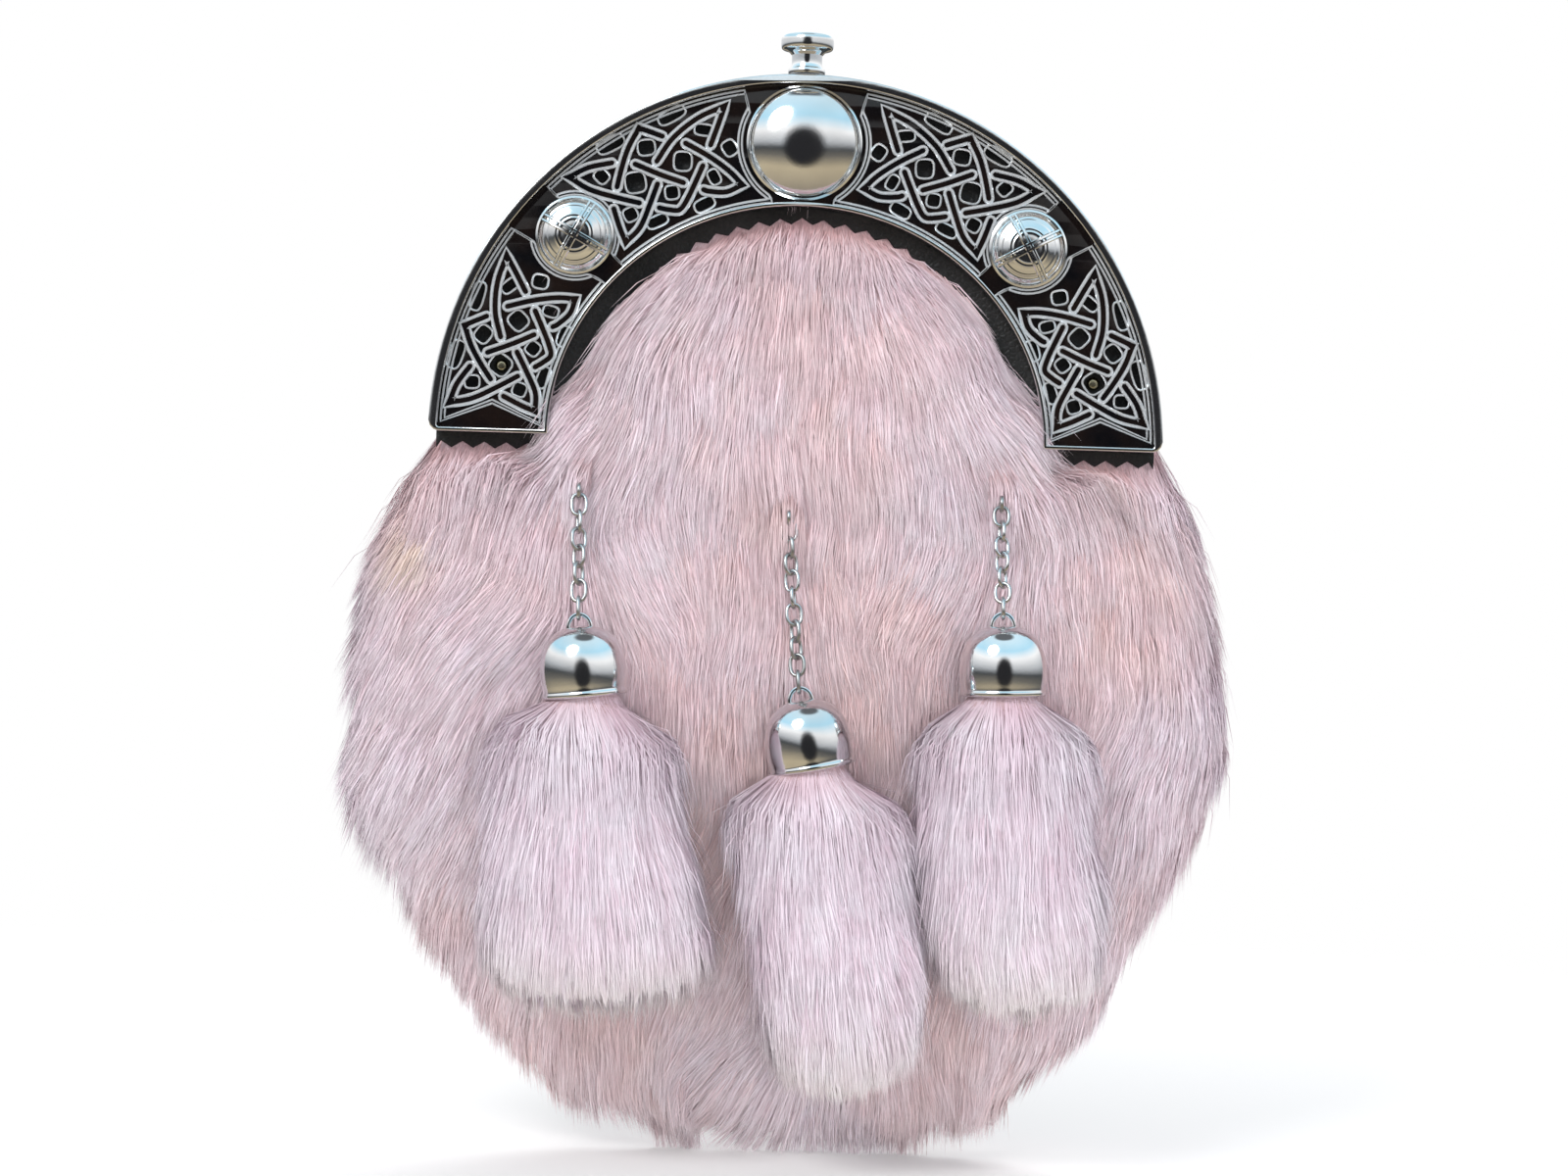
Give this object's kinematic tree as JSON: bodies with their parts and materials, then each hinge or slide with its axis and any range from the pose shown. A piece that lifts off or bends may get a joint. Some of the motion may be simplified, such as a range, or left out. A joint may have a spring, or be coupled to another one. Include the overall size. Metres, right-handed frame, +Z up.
{
  "type": "sporran pouch",
  "caption": "Dress sporran pouch of pink fur with an arched pierced metal cantle, domed bosses, a knob finial and fur tassels on chains.",
  "frame": {"origin": "the point the sporran hangs from: midway between the bearing points of its two belt D-rings", "axes": "+Z up, +X to the right seen from the front, and the front with the tassels faces -Y"},
  "size_m": [0.1975, 0.0684, 0.2474],
  "materials": {
    "pink_fur": "long dyed rabbit fur, combed down, pale at the tips and peach-pink in the partings",
    "tassel_fur": "long dyed rabbit fur, paler and cooler than the pouch, with cream tips",
    "black_leather": "fine-grained black leather with pinked edges",
    "black_enamel": "glossy black enamel sunk in the cantle's ground",
    "polished_metal": "mirror-polished silver plate with light wear on raised lines",
    "chain_steel": "bright nickel-plated steel wire",
    "rivet_brass": "dull brass rivet heads"
  },
  "bodies": {
    "root": {"fur_pouch": "pink_fur", "top_gusset": "black_leather", "back_panel": "black_leather", "back_flap": "black_leather", "flap_stud": "chain_steel", "cantle_leather": "black_leather", "cantle_plate": "polished_metal", "finial": "polished_metal", "centre_boss": "polished_metal", "side_boss_left": "polished_metal", "side_boss_right": "polished_metal", "cantle_rivet_left": "rivet_brass", "cantle_rivet_right": "rivet_brass", "d_ring_left": "chain_steel", "ring_tab_left": "black_leather", "tab_rivet_left": "chain_steel", "d_ring_right": "chain_steel", "ring_tab_right": "black_leather", "tab_rivet_right": "chain_steel", "chain_staple_left": "chain_steel", "chain_link_left_01": "chain_steel", "chain_link_left_02": "chain_steel", "chain_link_left_03": "chain_steel", "chain_link_left_04": "chain_steel", "chain_link_left_05": "chain_steel", "chain_link_left_06": "chain_steel", "chain_link_left_07": "chain_steel", "tassel_cap_left": "polished_metal", "tassel_fur_left": "tassel_fur", "chain_staple_middle": "chain_steel", "chain_link_middle_01": "chain_steel", "chain_link_middle_02": "chain_steel", "chain_link_middle_03": "chain_steel", "chain_link_middle_04": "chain_steel", "chain_link_middle_05": "chain_steel", "chain_link_middle_06": "chain_steel", "chain_link_middle_07": "chain_steel", "chain_link_middle_08": "chain_steel", "chain_link_middle_09": "chain_steel", "chain_link_middle_10": "chain_steel", "tassel_cap_middle": "polished_metal", "tassel_fur_middle": "tassel_fur", "chain_staple_right": "chain_steel", "chain_link_right_01": "chain_steel", "chain_link_right_02": "chain_steel", "chain_link_right_03": "chain_steel", "chain_link_right_04": "chain_steel", "chain_link_right_05": "chain_steel", "chain_link_right_06": "chain_steel", "chain_link_right_07": "chain_steel", "tassel_cap_right": "polished_metal", "tassel_fur_right": "tassel_fur"}
  },
  "joints": []
}
